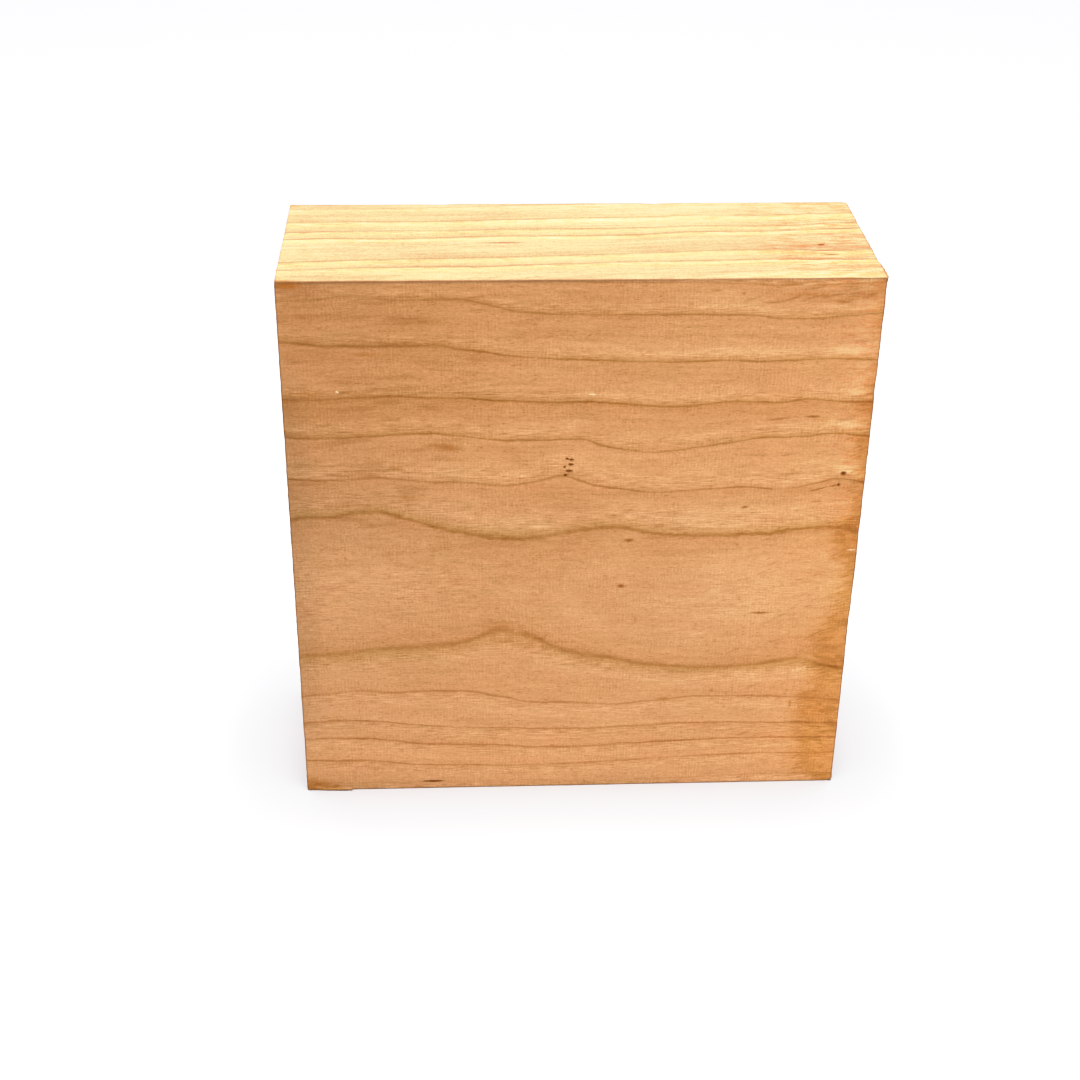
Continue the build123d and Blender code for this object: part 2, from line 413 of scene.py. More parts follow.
lap_left = -5.5 + 14.5 * np.exp(-(depth / 2.6) ** 2) * np.exp(-y_front / 2.0) + 19.0 * np.exp(-((H - depth) / 5.5) ** 2)
lap_left += 9.0 * smooth(T - 6.0, T, y_front) + 7.0 * smooth(6.0, 0.0, H - depth) * smooth(10.0, 40.0, y_front)
stain = np.maximum(stain_right, lap_left - left)


def keep(name, values, kind="FLOAT"):
    a = mesh.attributes.new(name, kind, "POINT")
    key = {"FLOAT": "value", "FLOAT_VECTOR": "vector", "FLOAT_COLOR": "color"}[kind]
    a.data.foreach_set(key, np.ascontiguousarray(values, np.float32).ravel())


keep("ring", ring)
keep("ring_width", ring_width)
keep("about", np.stack([q[:, 0], rad, phi * 140.0], 1), "FLOAT_VECTOR")
keep("stain", stain)
# Distance to the nearest arris, for the darkening along the edges that is painted shade in part; held back along the
# arris between the top and the left end.
keep("arris", arris + 0.35 * np.exp(-depth / 1.0) * np.exp(-left / 1.0) * smooth(1.0, 3.0, y_front))
keep("seam", np.maximum(np.exp(-((depth - 0.55) / 0.42) ** 2) * np.exp(-y_front / 0.3) * (1.0 - 0.45 * smooth(100.0, 150.0, left)),
                        0.6 * np.exp(-((T - y_front - 0.7) / 0.5) ** 2) * np.exp(-depth / 0.3)))
keep("tone", tone)
keep("painted_shade_and_tone", painted_shade_and_tone)
keep("cool", cool)
on_top = np.exp(-depth / 3.0)
keep("mottle", np.maximum(on_top * smooth(52.0, 24.0, right), 0.6 * on_front * smooth(20.0, 4.0, right) * smooth(118.0, 96.0, depth)))
bold = 1.0 - on_top * (0.12 + 0.55 * smooth(60.0, 66.0, y_front) + 0.55 * smooth(9.5, 7.5, y_front))
bold *= 1.0 - on_front * (0.20 * smooth(158.0, 176.0, depth) + 0.38 * np.exp(-((depth - 149.0) / 8.0) ** 4)
                          + 0.55 * smooth(62.0, 40.0, left) * smooth(16.0, 11.0, depth))
bold *= 1.0 - on_front * (0.62 * np.exp(-((left - 79.0) / 13.0) ** 2) * smooth(133.0, 137.0, depth) * smooth(150.0, 145.0, depth)
                          + 0.24 * np.exp(-((ring - 1.0) / 0.3) ** 2) * smooth(120.0, 110.0, depth)
                          + (0.5 + 0.4 * smooth(150.0, 110.0, left)) * smooth(201.5, 204.0, depth)
                          + 0.65 * np.exp(-((left - 175.0) / 6.0) ** 2) * smooth(74.0, 77.0, depth) * smooth(83.0, 81.0, depth))
keep("bold", bold)
# How far the wood about a line takes its colour, and how rusty, rather than olive, it is.
keep("zone", 1.0 - on_top * (0.75 * smooth(58.0, 66.0, y_front) + 0.6 * smooth(9.5, 7.5, y_front)) - on_front * 0.55 * smooth(158.0, 174.0, depth))
keep("rust", on_front * smooth(150.0, 172.0, depth))
keep("smudge", 0.35 - 0.22 * on_top + on_front * 0.65 * smooth(135.0, 30.0, left) * smooth(130.0, 70.0, depth))
broad = 1.0 + on_front * (1.7 * np.exp(-((depth - 149.0) / 10.0) ** 2) + 0.95 * np.exp(-((ring - 1.0) / 0.4) ** 2)
                          * smooth(120.0, 110.0, depth) + 0.5 * smooth(90.0, 20.0, left)
                          * smooth(66.0, 46.0, depth) * smooth(12.0, 20.0, depth))
keep("broad", broad)
# The two widest lines are feathered, most of all on the hump of the lower one.
keep("feather", on_front * (2.4 * np.exp(-((depth - 147.0) / 10.0) ** 2)
                            + 5.0 * np.exp(-((left - 80.0) / 15.0) ** 2) * np.exp(-((depth - 140.0) / 7.0) ** 2)
                            + 1.9 * np.exp(-((ring - 1.0) / 0.4) ** 2) * smooth(120.0, 110.0, depth)))
fleck = smooth(146.0, 172.0, left) * smooth(60.0, 120.0, depth) * on_front
fleck = np.maximum(fleck, 0.5 * smooth(160.0, 185.0, left) * on_front)
keep("fleck", fleck)
# How far apart, along the surface, points a millimetre apart in radius are.
axis_n = normal / np.maximum(np.abs(normal).max(1), 1e-9)[:, None]
axis_n = np.where(np.abs(axis_n) > 0.999, np.sign(axis_n), 0.0)
axis_n /= np.linalg.norm(axis_n, axis=1)[:, None]
toward = -axis_n[:, 1] * np.cos(phi) + axis_n[:, 2] * np.sin(phi)
keep("slant", np.sqrt(np.clip(1.0 - toward ** 2, 0.03, 1.0)))

# ------------------------------------------------------------------ the wood


class Net:
    """Small helpers for building a node tree."""

    def __init__(self, tree):
        self.t = tree

    def new(self, kind, **props):
        n = self.t.nodes.new(kind)
        for k, val in props.items():
            setattr(n, k, val)
        return n

    def put(self, socket, value):
        if value is None:
            return
        if isinstance(value, bpy.types.NodeSocket):
            self.t.links.new(value, socket)
        else:
            socket.default_value = value

    def math(self, op, a, b=None, c=None, clamp=False):
        n = self.new("ShaderNodeMath", operation=op, use_clamp=clamp)
        for s, val in zip(n.inputs, (a, b, c)):
            self.put(s, val)
        return n.outputs[0]

    def add(self, a, b):
        return self.math("ADD", a, b)

    def sub(self, a, b):
        return self.math("SUBTRACT", a, b)

    def mul(self, a, b):
        return self.math("MULTIPLY", a, b)

    def fma(self, a, b, c):
        return self.math("MULTIPLY_ADD", a, b, c)

    def fade(self, d, length):
        """1 at d = 0, falling off over length."""
        return self.math("EXPONENT", self.mul(d, -1.0 / length))

    def bell(self, d, half):
        """1 at d = 0, falling to 1/e at half."""
        return self.math("EXPONENT", self.mul(self.mul(d, d), -1.0 / half ** 2))

    def vec(self, op, a, b=None, c=None):
        n = self.new("ShaderNodeVectorMath", operation=op)
        for s, val in zip(n.inputs, (a, b, c)):
            self.put(s, val)
        return n

    def step(self, value, lo, hi, a=0.0, b=1.0):
        n = self.new("ShaderNodeMapRange", interpolation_type="SMOOTHSTEP")
        self.put(n.inputs["Value"], value)
        for key, val in (("From Min", lo), ("From Max", hi), ("To Min", a), ("To Max", b)):
            self.put(n.inputs[key], val)
        return n.outputs[0]

    def noise(self, vector, freq, seed, detail=2.0, rough=0.5, distortion=0.0):
        """Noise about 0.5, with its own frequency along each axis, per mm."""
        at = self.vec("MULTIPLY_ADD", vector, freq, (seed * 7.31, seed * 3.77, seed * 5.13)).outputs[0]
        n = self.new("ShaderNodeTexNoise", noise_dimensions="3D")
        self.put(n.inputs["Vector"], at)
        n.inputs["Scale"].default_value = 1.0
        n.inputs["Detail"].default_value = detail
        n.inputs["Roughness"].default_value = rough
        n.inputs["Distortion"].default_value = distortion
        return n.outputs["Fac"]

    def vec_noise(self, vector, freq, seed):
        self.noise(vector, freq, seed, 1.0)
        return self.t.nodes[-1].outputs["Color"]

    def mix(self, fac, a, b, blend="MIX"):
        n = self.new("ShaderNodeMix", data_type="RGBA", blend_type=blend)
        n.clamp_factor = True
        self.put(n.inputs["Factor"], fac)
        ins = [s for s in n.inputs if s.type == "RGBA"]
        self.put(ins[0], a)
        self.put(ins[1], b)
        return [s for s in n.outputs if s.type == "RGBA"][0]

    def scale(self, colour, factor):
        """Colour times a plain number."""
        n = self.new("ShaderNodeVectorMath", operation="SCALE")
        self.put(n.inputs[0], colour)
        self.put(n.inputs["Scale"], factor)
        return n.outputs[0]

    def attr(self, name, vector=False):
        n = self.new("ShaderNodeAttribute", attribute_name=name, attribute_type="GEOMETRY")
        return n.outputs["Vector" if vector else "Fac"]

    def table(self, t, rows):
        """One row of three numbers for each equal step of t in 0..1."""
        n = self.new("ShaderNodeValToRGB")
        r = n.color_ramp
        r.interpolation = "CONSTANT"
        while len(r.elements) < len(rows):
            r.elements.new(1.0)
        for i, row in enumerate(rows):
            r.elements[i].position = i / len(rows)
            r.elements[i].color = (*row, 1.0)
        self.put(n.inputs[0], t)
        s = self.new("ShaderNodeSeparateColor")
        self.put(s.inputs[0], n.outputs[0])
        return s.outputs[0], s.outputs[1], s.outputs[2]


def lin(r, g, b, level=1.05):
    """Albedo for a colour seen at that light level."""
    f = lambda c: (c / 255 / 12.92) if c <= 10.3 else ((c / 255 + 0.055) / 1.055) ** 2.4
    return (f(r) / level, f(g) / level, f(b) / level, 1.0)


wood = bpy.data.materials.new("planed_fruitwood")
wood.use_nodes = True
tree = wood.node_tree
tree.nodes.clear()
g = Net(tree)
P = g.vec("SCALE", g.new("ShaderNodeTexCoord").outputs["Object"])
P.inputs["Scale"].default_value = 1000.0
P = P.outputs[0]
about = g.attr("about", True)
geo = g.new("ShaderNodeNewGeometry")
nsep = g.new("ShaderNodeSeparateXYZ")
g.put(nsep.inputs[0], geo.outputs["True Normal"])
m_end = g.step(g.math("ABSOLUTE", nsep.outputs[0]), 0.45, 0.85)
pos = g.new("ShaderNodeSeparateXYZ")
g.put(pos.inputs[0], P)

# growth rings; their lines wander a little over the surface
width_ = g.attr("ring_width")
slant = g.attr("slant")
broad = g.attr("broad")
wob = g.fma(g.noise(P, (1 / 10, 1 / 2.0, 1 / 2.0), 1, 1.0), 0.9, -0.45)
wob = g.add(wob, g.fma(g.noise(P, (1 / 2.4, 1 / 0.6, 1 / 0.6), 2, 0.0), 0.5, -0.25))
m_top = g.step(nsep.outputs[2], 0.5, 0.9)
wob = g.mul(wob, g.fma(m_top, -0.5, 1.0))
upright = g.noise(P, (1 / 0.62, 1 / 4, 1 / 4), 25, 0.0)
torn = g.noise(P, (1 / 3.0, 1 / 0.9, 1 / 0.9), 31, 2.0, 0.6)
wob = g.fma(g.sub(torn, 0.5), g.attr("feather"), wob)
A = g.add(g.attr("ring"), g.math("DIVIDE", g.mul(wob, slant), width_))
k = g.math("FLOOR", A)
u = g.math("FRACT", A)
N = K_MAX - K_MIN + 1
t = g.math("DIVIDE", g.add(k, 0.5 - K_MIN), float(N))

# For each boundary: how dark its line is, how far the wood darkens towards it from
# inside, and how brown the early wood just outside it is. Then each ring's tone.
LINE = {1: 0.92, 2: 0.66, 3: 0.72, 4: 0.90, 5: 0.72, 6: 0.64, 7: 0.75}
LATE = {1: 0.55, 2: 0.28, 3: 0.05, 4: 0.78, 5: 0.26, 6: 0.16, 7: 0.4}
EARLY = {1: 0.85, 2: 0.12, 3: 0.50, 4: 0.45, 5: 0.55, 6: 0.45, 7: 0.4}
TONE = {0: 0.5, 1: 0.5, 2: 0.52, 3: 0.5, 4: 0.5, 5: 0.46, 6: 0.5}
rows_a, rows_b = [], []
for i in range(K_MIN, K_MAX + 1):
    r3 = rng.uniform(0, 1, 6)
    line_out = LINE.get(i + 1, 0.5 + 0.35 * r3[0])
    late_out = LATE.get(i + 1, 0.08 + 0.4 * r3[1])
    line_in = rows_a[-1][0] if rows_a else 0.7
    early_in = EARLY.get(i, 0.2 + 0.5 * r3[2])
    rows_a.append((line_out, late_out, early_in))
    rows_b.append((line_in, TONE.get(i, 0.38 + 0.24 * r3[3]), r3[4]))
line_out, late_out, early_in = g.table(t, rows_a)
line_in, ring_tone, _ = g.table(t, rows_b)

d_out = g.mul(g.sub(1.0, u), width_)
d_in = g.mul(u, width_)
s_out = g.math("DIVIDE", d_out, g.mul(slant, broad))
s_in = g.math("DIVIDE", d_in, g.mul(slant, broad))
thin = g.fma(m_top, -0.28, 1.0)
m_line = g.math("MAXIMUM", g.mul(line_out, g.bell(g.mul(s_out, thin), 0.37)), g.mul(line_in, g.bell(g.mul(s_in, thin), 0.42)))
m_line = g.mul(m_line, g.fma(g.sub(g.noise(P, (1 / 17, 1 / 4, 1 / 4), 14, 1.0), 0.5), g.fma(m_top, -0.8, 1.7), 1.0))
m_line = g.mul(m_line, g.attr("bold"))
zone = g.attr("zone")
m_late = g.mul(g.mul(g.math("MAXIMUM", late_out, g.mul(m_top, 0.54)), g.fade(g.mul(d_out, g.fma(m_top, -0.45, 1.0)), 1.9)), zone)
ragged = g.math("MAXIMUM", g.add(s_in, g.fma(upright, 1.3, -0.65)), 0.0)
m_brown = g.mul(g.mul(early_in, g.bell(ragged, 1.9)), g.mul(zone, g.fma(m_top, -0.65, 1.0)))
m_light = g.mul(g.step(g.mul(s_in, g.fma(m_top, 0.7, 1.0)), 1.0, 2.8), g.step(d_in, 1.3, 4.2, 1.0, 0.0))
n_patch = g.noise(P, (1 / 26, 1 / 8, 1 / 7), 26, 1.0)
m_light = g.mul(g.mul(m_light, zone), g.math("MAXIMUM", g.step(n_patch, 0.36, 0.62, 0.25, 1.0), m_top))
m_light = g.mul(m_light, g.math("MAXIMUM", g.step(early_in, 0.6, 1.0, 1.0, 0.45), m_top))

# On upward faces the wood takes lighter, yellower colours for its light zones, late wood, lines and streaks, and below
# a stronger contrast and its own hue shift: painted light, the look of the brightly lit top set into the colour.
BASE = lin(209, 149, 94)
colour = g.mix(g.mul(m_light, g.fma(m_top, 0.2, 0.8)), BASE, g.mix(m_top, lin(220, 162, 106), lin(230, 170, 100)))
colour = g.mix(m_brown, colour, lin(190, 135, 74))
colour = g.mix(m_late, colour, g.mix(m_top, lin(192, 130, 72), (0.52, 0.235, 0.083, 1.0)))
ink = g.mix(g.attr("rust"), lin(158, 99, 36), lin(166, 98, 44))
colour = g.mix(m_line, colour, g.mix(m_top, ink, (0.29, 0.140, 0.047, 1.0)))

# slow changes of tone and hue, and bands that follow the rings
bands = g.new("ShaderNodeCombineXYZ")
g.put(bands.inputs[0], g.mul(pos.outputs[0], 1 / 55))
g.put(bands.inputs[1], g.mul(A, 3.3))
n_band = g.noise(bands.outputs[0], (1, 1, 1), 3, 1.0, 0.55)
n_thin = g.noise(bands.outputs[0], (1.4, 4.5, 1), 21, 1.0)
n_slow = g.noise(P, (1 / 60, 1 / 18, 1 / 15), 4, 1.0)
n_hue = g.noise(P, (1 / 16, 1 / 7, 1 / 7), 15, 0.0)
level = g.fma(g.sub(n_band, 0.5), g.fma(m_top, 0.10, 0.14), 1.0)
level = g.mul(level, g.fma(g.sub(n_thin, 0.5), g.fma(m_top, 0.20, 0.15), 1.0))
level = g.mul(level, g.fma(n_slow, 0.18, 0.91))
level = g.mul(level, g.fma(ring_tone, 0.24, 0.88))

# fibres, the streaks of the early wood, and the planer's fine chatter
fibre = g.noise(P, (1 / 8, 1 / 0.6, 1 / 0.6), 5, 2.0, 0.6)
fine = g.noise(P, (1 / 1.1, 1 / 0.36, 1 / 0.36), 6, 0.0)
streak = g.noise(P, (1 / 5.5, 1 / 0.42, 1 / 0.42), 7, 0.0)
early = g.math("MAXIMUM", g.mul(g.step(s_in, 0.3, 1.2), g.step(d_in, 0.9, 3.4, 1.0, 0.0)), 0.16)
chatter_n = g.noise(P, (1 / 5, 1 / 5, 1 / 2.2), 16, 0.0)
chatter = g.math("SINE", g.fma(pos.outputs[0], 2 * math.pi / 1.22, g.mul(chatter_n, 7.0)))
chatter = g.add(g.mul(chatter, 0.55), g.fma(upright, 2.6, -1.3))
m_up = g.step(nsep.outputs[2], 0.5, 0.9, 1.0, 0.4)
chatter = g.mul(chatter, g.mul(g.step(g.noise(P, (1 / 15, 1 / 9, 1 / 8), 24, 1.0), 0.42, 0.62, 0.22, 1.0), m_up))
level = g.mul(level, g.fma(fibre, 0.18, 0.91))
level = g.mul(level, g.fma(g.noise(P, (1 / 13, 1 / 1.6, 1 / 1.4), 30, 1.0), 0.20, 0.90))
speck = g.noise(P, (1 / 0.55, 1 / 0.5, 1 / 0.5), 22, 0.0)
level = g.mul(level, g.fma(fine, 0.30, 0.85))
level = g.mul(level, g.fma(speck, 0.20, 0.90))
level = g.mul(level, g.fma(g.mul(early, g.sub(streak, 0.5)), 0.70, 1.0))
level = g.mul(level, g.fma(chatter, 0.075, 1.0))
pore = g.noise(P, (1 / 2.6, 1 / 0.34, 1 / 0.34), 8, 0.0)
m_pore = g.step(pore, 0.66, 0.80)
level = g.mul(level, g.fma(m_pore, -0.21, 1.0))
dash = g.noise(P, (1 / 2.2, 1 / 0.4, 1 / 0.4), 27, 0.0)
level = g.mul(level, g.fma(g.step(dash, 0.66, 0.82), 0.12, 1.0))
smudge = g.noise(P, (1 / 15, 1 / 3.0, 1 / 2.4), 23, 1.0, 0.6)
m_smudge = g.mul(g.step(smudge, 0.50, 0.72), g.attr("smudge"))
level = g.mul(level, g.fma(m_smudge, -0.17, 1.0))
level = g.mul(level, g.add(g.attr("tone"), 1.0))
level = g.fma(g.sub(level, 1.0), g.fma(m_top, 0.36, 1.18), 1.0)
# darker wood is also redder and yellower wood; on upward faces the shift is set apart, painted light for the brightly
# lit top
shade = g.new("ShaderNodeCombineXYZ")
g.put(shade.inputs[0], g.mul(g.math("POWER", level, g.fma(m_top, 0.06, 0.74)), g.fma(n_hue, -0.03, 1.015)))
g.put(shade.inputs[1], g.mul(level, g.fma(n_hue, 0.05, 0.975)))
g.put(shade.inputs[2], g.mul(g.math("POWER", level, g.fma(m_top, -0.30, 1.45)), g.fma(n_hue, 0.03, 0.985)))
colour = g.vec("MULTIPLY", colour, shade.outputs[0]).outputs[0]
# painted light and shade across the front, from the attribute above
colour = g.scale(colour, g.add(g.attr("painted_shade_and_tone"), 1.0))
cast = g.new("ShaderNodeCombineXYZ")
cool = g.attr("cool")
g.put(cast.inputs[0], g.fma(cool, -0.03, 1.0))
cast.inputs[1].default_value = 1.0
g.put(cast.inputs[2], g.fma(cool, 0.06, 1.0))
colour = g.vec("MULTIPLY", colour, cast.outputs[0]).outputs[0]

# slanting flecks in the lower right of the front, where the grain dips
slope = g.new("ShaderNodeMapping", vector_type="TEXTURE")
slope.inputs["Rotation"].default_value = (0.0, math.radians(-24), 0.0)
g.put(slope.inputs["Vector"], P)
n_fleck = g.noise(slope.outputs[0], (1 / 5.5, 1 / 3, 1 / 0.62), 17, 1.0)
m_fleck = g.mul(g.step(n_fleck, 0.62, 0.80), g.attr("fleck"))
colour = g.mix(g.mul(m_fleck, 0.62), colour, lin(160, 104, 48))

# wax at the ends, drawn into the grain, darkest just inside its edge
edge_n = g.fma(g.noise(P, (1 / 9, 1 / 2.2, 1 / 2.2), 9, 2.0, 0.6), 12.0, -6.0)
edge_n = g.fma(n_fleck, 9.0, g.add(edge_n, -4.5))
in_wax = g.add(g.attr("stain"), edge_n)
m_wax = g.step(in_wax, -6.0, 5.0)
patch = g.noise(P, (1 / 6, 1 / 2.4, 1 / 2.4), 18, 1.0)
tide = g.mul(g.step(in_wax, 0.0, 2.5), g.step(in_wax, 4.0, 8.0, 1.0, 0.0))
waxed = g.mix(g.math("MAXIMUM", g.step(patch, 0.46, 0.66), g.mul(tide, 0.6)), (0.93, 0.83, 0.58, 1.0), (0.735, 0.615, 0.335, 1.0))
colour = g.mix(m_wax, colour, g.vec("MULTIPLY", colour, waxed).outputs[0])
# and the mottled wood beside it
mottle = g.attr("mottle")
dash_n = g.noise(P, (1 / 7, 1 / 1.5, 1 / 1.6), 29, 2.0, 0.55)
colour = g.mix(g.mul(mottle, g.step(dash_n, 0.46, 0.58)), colour, g.vec("MULTIPLY", colour, (0.96, 0.77, 0.67)).outputs[0])
colour = g.mix(g.mul(mottle, g.step(dash_n, 0.47, 0.34)), colour, g.vec("MULTIPLY", colour, (1.05, 1.12, 1.16)).outputs[0])


# single marks: knots, gum streaks and nicks, each an uneven patch round its place
uneven = g.vec("SUBTRACT", g.vec_noise(P, (1 / 0.9, 1 / 0.9, 1 / 0.9), 19), (0.5, 0.5, 0.5)).outputs[0]
uneven = g.vec("MULTIPLY_ADD", uneven, (1.0, 0.6, 0.8), P).outputs[0]


turned = {}


def turn(rise):
    """The surface's coordinates, turned so that the first runs along marks that
    rise by about this many degrees."""
    r = 8 * round(rise / 8)
    c, n = math.cos(math.radians(r)), math.sin(math.radians(r))
    if r not in turned:
        f = g.new("ShaderNodeCombineXYZ")
        for i, axis in enumerate(((c, 0.0, n), (0.0, 1.0, 0.0), (-n, 0.0, c))):
            g.put(f.inputs[i], g.vec("DOT_PRODUCT", uneven, axis).outputs["Value"])
        turned[r] = f.outputs[0]
    return turned[r], c, n


def marks(rows, soft=(0.5, 1.15), top=()):
    """Rows of (from the left, below the top, length, width, rise in degrees); on
    the top edge face the second number is the distance behind the front and the rise is not used."""
    nearest = None
    for on, (cx, cz, length, wide, rise) in [(0, r) for r in rows] + [(1, r) for r in top]:
        f, c, n = turn(0 if on else rise)
        if on:
            at, per = (LO[0] + cx, LO[1] + cz, HI[2]), (2 / length, 2 / wide, 1 / 3)
        else:
            x, z = LO[0] + cx, HI[2] - cz
            at, per = (c * x + n * z, LO[1], c * z - n * x), (2 / length, 1 / 3, 2 / wide)
        d = g.vec("MULTIPLY_ADD", f, per, [-u_ * v_ for u_, v_ in zip(at, per)])
        d = g.vec("LENGTH", d.outputs[0]).outputs["Value"]
        nearest = d if nearest is None else g.math("MINIMUM", nearest, d)
    return g.step(nearest, soft[0], soft[1], 1.0, 0.0)


KNOTS = [
    (97.6, 66.6, 1.6, 1.05, 0), (99.1, 66.95, 2.0, 1.3, 0), (98.9, 68.85, 2.5, 1.25, 0), (96.6, 69.8, 1.3, 1.2, 0),
    (98.4, 71.4, 3.1, 1.5, 0), (97.1, 73.0, 1.8, 1.2, 0), (195.2, 73.6, 2.5, 1.8, 10), (193.9, 78.2, 1.6, 1.5, 0),
    (48.4, 206.0, 10.4, 1.15, -4),
]
STREAKS = [
    (120.2, 99.8, 4.4, 1.9, 0), (118.0, 119.0, 3.8, 1.9, 0), (169.8, 131.4, 9.5, 1.2, 3), (182.4, 51.2, 6.6, 1.1, 2),
    (161.0, 86.8, 3.6, 1.1, 8), (187.0, 79.8, 7.6, 0.8, 16), (192.0, 78.6, 3.4, 0.8, 6),
]
FAINT = [
    (177.4, 132.8, 6.0, 1.0, 26), (171.6, 52.0, 7.4, 0.9, 8), (161.8, 147.4, 5.6, 0.9, 21),
    (168.4, 164.2, 9.0, 0.8, 25), (189.8, 141.8, 7.0, 1.4, 30), (167.4, 8.2, 6.0, 1.0, 0), (173.4, 6.6, 5.0, 0.9, 22),
    (179.0, 3.6, 9.0, 0.8, 10),
    (194.0, 52.4, 8.0, 1.8, 14), (163.0, 66.0, 11.0, 1.0, 4), (174.5, 66.0, 7.5, 0.9, 8), (176.0, 73.6, 12.0, 1.1, 4), (123.8, 133.4, 1.4, 2.6, 0), (129.5, 99.0, 15.0, 0.8, 0),
    (172.0, 12.0, 12.0, 0.8, -4), (158.0, 7.4, 7.0, 0.9, 12), (178.6, 7.0, 7.0, 1.0, 18),
    (189.6, 8.8, 7.0, 0.9, 20), (192.4, 4.0, 8.0, 1.0, 8), (197.6, 6.8, 6.0, 1.2, 16),
    (74.0, 137.0, 13.0, 2.8, 3), (46.0, 62.4, 11.0, 1.3, 0),
]
# darker, short strokes of torn grain, most of them in the top right corner
STROKES = [
    (146.6, 4.2, 3.6, 0.9, 0), (155.4, 5.3, 2.2, 1.2, 0), (165.0, 8.6, 7.0, 0.9, 0), (171.6, 7.3, 6.4, 1.0, 16),
    (183.0, 6.6, 3.6, 1.6, 0), (189.2, 8.6, 5.8, 1.0, -8), (186.6, 6.0, 6.0, 0.8, 8),
    (193.0, 5.6, 6.0, 0.9, 8), (198.8, 5.8, 4.0, 1.0, 16), (191.0, 3.2, 7.0, 0.9, 0),
    (172.6, 1.9, 8.0, 1.4, 0), (169.6, 52.1, 9.0, 1.2, 8), (135.6, 169.2, 5.0, 1.5, 0), (56.0, 61.4, 9.0, 2.4, -8),
    (167.4, 185.8, 5.2, 1.3, 24), (186.6, 84.8, 4.0, 1.0, 0), (184.0, 172.6, 1.0, 5.0, 0),
]
# an orange run of wax with a firm edge
RUNS = [(4.4, 1.5, 9.0, 2.3, 0)]
# wider, softer smears of brown
SMEARS = [
    (55.0, 62.0, 11.0, 2.6, -10), (37.8, 69.4, 6.0, 2.0, -20), (177.0, 6.2, 17.0, 1.7, 0),
    (191.0, 7.6, 13.0, 2.0, 6), (199.0, 5.2, 8.0, 2.2, 0), (197.0, 94.4, 12.0, 3.6, 8), (188.0, 114.8, 9.0, 3.6, 0),
    (49.0, 14.6, 13.0, 3.0, 2), (30.0, 26.4, 20.0, 1.9, 0), (8.0, 41.0, 14.0, 3.0, 2), (44.0, 81.5, 16.0, 2.0, -4),
    (74.0, 135.4, 15.0, 4.0, 0), (87.0, 140.6, 14.0, 4.6, -26),
    (62.0, 141.2, 12.0, 3.0, 14), (136.4, 169.4, 7.0, 2.2, 0), (4.0, 206.0, 14.0, 3.4, 0), (194.5, 175.0, 15.0, 12.0, 0),
    (185.0, 52.4, 9.0, 2.2, 0), (80.0, 142.0, 28.0, 8.0, -8),
]
PALE = [
    (186.0, 10.2, 9.0, 1.0, -4), (176.0, 2.4, 9.0, 0.9, 8), (196.0, 10.8, 8.0, 1.4, 0),
    (150.0, 25.0, 16.0, 1.2, 2), (172.0, 26.2, 18.0, 1.5, 0), (192.0, 26.2, 22.0, 2.2, 0),
    (197.0, 42.4, 8.0, 1.8, 6), (197.0, 54.8, 9.0, 2.2, -8), (198.0, 70.6, 7.0, 2.2, 12),
    (150.0, 94.6, 18.0, 1.3, 2), (88.0, 93.6, 20.0, 1.6, 4), (100.0, 151.6, 16.0, 1.6, -12),
]
NICKED = [(105.6, 41.9, 3.2, 0.8, 0), (18.9, 40.2, 1.4, 1.1, 0), (201.0, 105.0, 3.4, 0.6, 3)]
m_smear = marks(SMEARS, (0.0, 1.5), [(181.0, 30.0, 13.0, 2.6, 0), (196.0, 55.6, 11.0, 2.4, 0), (190.0, 14.0, 9.0, 2.2, 0)])
m_smear = g.mul(m_smear, g.step(g.noise(P, (1 / 6, 1 / 1.1, 1 / 1.1), 28, 1.0), 0.36, 0.62, 0.30, 0.85))
colour = g.mix(m_smear, colour, g.vec("MULTIPLY", colour, (0.84, 0.72, 0.52)).outputs[0])
colour = g.mix(g.mul(marks(FAINT, (0.0, 1.5)), 0.42), colour, lin(158, 98, 38))
colour = g.mix(g.mul(marks(STROKES, (0.0, 1.5)), 0.66), colour, lin(166, 100, 38))
colour = g.mix(g.mul(marks(RUNS, (0.5, 1.25)), 0.58), colour, lin(178, 100, 24))
m_pale = g.mul(marks(PALE, (0.0, 1.5)), g.step(fibre, 0.40, 0.62, 0.25, 1.0))
colour = g.mix(g.mul(m_pale, 0.55), colour, lin(246, 192, 134))
m_streak = marks(STREAKS, (0.1, 1.25), [(75.5, 34.0, 20.0, 1.25, 0), (188.0, 21.0, 6.0, 1.3, 0)])
colour = g.mix(g.mul(m_streak, 0.92), colour, g.mix(m_top, lin(146, 82, 20), lin(112, 62, 20)))
m_knot = marks(KNOTS, (0.45, 1.15), [(186.2, 30.4, 3.2, 2.2, 40)])
colour = g.mix(m_knot, colour, lin(120, 62, 6))
m_nick = marks(NICKED)
colour = g.mix(g.mul(m_nick, 0.8), colour, lin(254, 212, 160))

# end grain
rays = g.noise(about, (1 / 40, 1 / 9, 1 / 0.5), 10, 1.0)
grit = g.noise(P, (1 / 3, 1 / 0.3, 1 / 0.3), 11, 1.0)
end_level = g.mul(g.fma(rays, 0.5, 0.60), g.fma(grit, 0.5, 0.70))
end_colour = g.vec("MULTIPLY", g.scale(colour, end_level), (0.86, 0.78, 0.70)).outputs[0]
colour = g.mix(m_end, colour, end_colour)

# darker arrises: painted shade where the eased edges turn away from the light and down to the floor, partly also the
# darker end grain at the sawn ends; and a thin dark line just under the top front arris and just inside the back arris
# of the top
colour = g.mix(g.mul(g.step(g.attr("arris"), 0.1, 0.75, 1.0, 0.0), 0.68), colour, lin(104, 64, 30))
colour = g.mix(g.mul(g.attr("seam"), 0.44), colour, lin(96, 56, 22))

